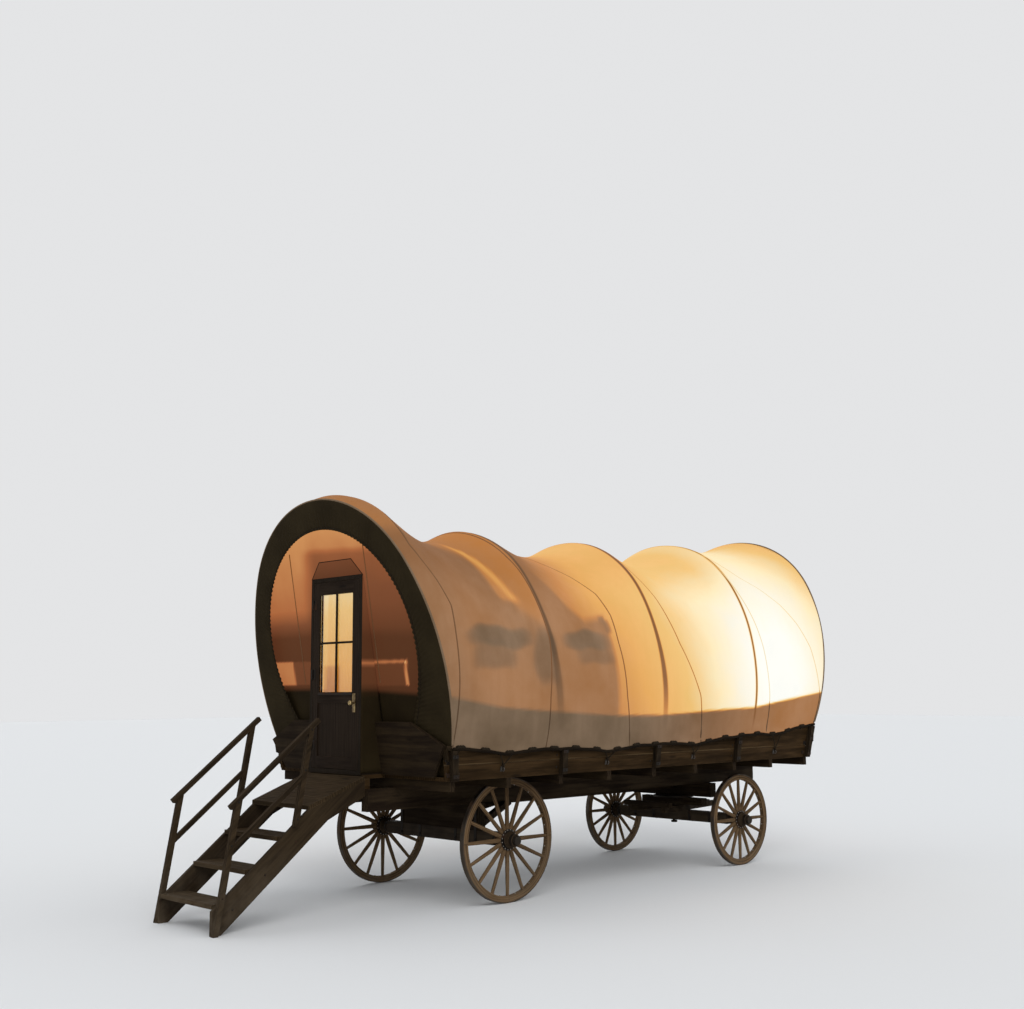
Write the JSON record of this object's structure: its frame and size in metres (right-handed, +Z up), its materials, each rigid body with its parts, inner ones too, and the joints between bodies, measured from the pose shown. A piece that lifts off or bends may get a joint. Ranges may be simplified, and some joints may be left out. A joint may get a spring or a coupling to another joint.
{
  "type": "covered wagon",
  "caption": "Wooden wagon on spoked wheels with a bowed canvas cabin, a glazed door at the rear and steps with handrails up to it.",
  "frame": {"origin": "on the ground, under the middle of the whole object's box", "axes": "+X forward to the steering axle, +Y to the wagon's left, +Z up"},
  "size_m": [8.6876, 3.2502, 4.2426],
  "materials": {
    "canopy": "weathered canvas",
    "end_canvas": "lit canvas",
    "box_wood": "weathered boards",
    "dark_wood": "dark stained timber",
    "wheel_wood": "dry bare wood",
    "step_wood": "bare planks",
    "door_wood": "brown paint, satin",
    "frame_wood": "dark stained timber",
    "iron": "dull, lightly rusted",
    "lock_metal": "worn",
    "glass": "clear"
  },
  "bodies": {
    "box": {"bows": "box_wood", "canvas_cover": "canopy", "door_flap": "canopy", "door_frame": "frame_wood", "door_hinges": "iron", "door_step_floor": "box_wood", "entry_ramp": "step_wood", "floor_beams": "dark_wood", "floor_boards": "box_wood", "floor_joists": "dark_wood", "front_bolster": "dark_wood", "front_canvas_wall": "end_canvas", "front_end_board": "box_wood", "front_hood": "canopy", "handrail_left": "step_wood", "handrail_right": "step_wood", "inner_walls": "box_wood", "king_pin": "iron", "reach_pole": "dark_wood", "rear_axle": "dark_wood", "rear_bolster": "dark_wood", "rear_canvas_wall": "end_canvas", "rear_end_board": "box_wood", "rear_hood": "canopy", "rear_hounds": "dark_wood", "side_boards_left": "box_wood", "side_boards_right": "box_wood", "side_stakes": "box_wood", "step_stringers": "step_wood", "step_treads": "step_wood", "tie_rings": "iron", "top_rails": "box_wood", "upper_turning_plate": "iron"},
    "door": {"door_leaf": "door_wood", "door_glass": "glass", "door_lock": "lock_metal"},
    "front_gear": {"front_axle": "dark_wood", "lower_turning_plate": "iron", "sand_bolster": "dark_wood", "front_hounds": "dark_wood", "sway_bar": "dark_wood"},
    "rear_right_wheel": {"wheel_rear_right": "wheel_wood", "tyre_rear_right": "iron"},
    "rear_left_wheel": {"wheel_rear_left": "wheel_wood", "tyre_rear_left": "iron"},
    "front_right_wheel": {"wheel_front_right": "wheel_wood", "tyre_front_right": "iron"},
    "front_left_wheel": {"wheel_front_left": "wheel_wood", "tyre_front_left": "iron"}
  },
  "joints": [
    {"name": "door_swing", "type": "hinge", "parent": "box", "child": "door", "pos_m": [-2.6709, 0.402, 2.35], "axis": [0, 0, -1], "range_deg": [0, 95]},
    {"name": "steering", "type": "hinge", "parent": "box", "child": "front_gear", "pos_m": [2.8204, 0, 0.792], "axis": [0, 0, 1], "range_deg": [-25, 25]},
    {"name": "rear_right_wheel_turn", "type": "hinge", "parent": "box", "child": "rear_right_wheel", "pos_m": [-1.1996, -1.045, 0.635], "axis": [0, 1, 0], "continuous": true},
    {"name": "rear_left_wheel_turn", "type": "hinge", "parent": "box", "child": "rear_left_wheel", "pos_m": [-1.1996, 1.045, 0.635], "axis": [0, 1, 0], "continuous": true},
    {"name": "front_right_wheel_turn", "type": "hinge", "parent": "front_gear", "child": "front_right_wheel", "pos_m": [2.8204, -1.045, 0.555], "axis": [0, 1, 0], "continuous": true},
    {"name": "front_left_wheel_turn", "type": "hinge", "parent": "front_gear", "child": "front_left_wheel", "pos_m": [2.8204, 1.045, 0.555], "axis": [0, 1, 0], "continuous": true}
  ]
}
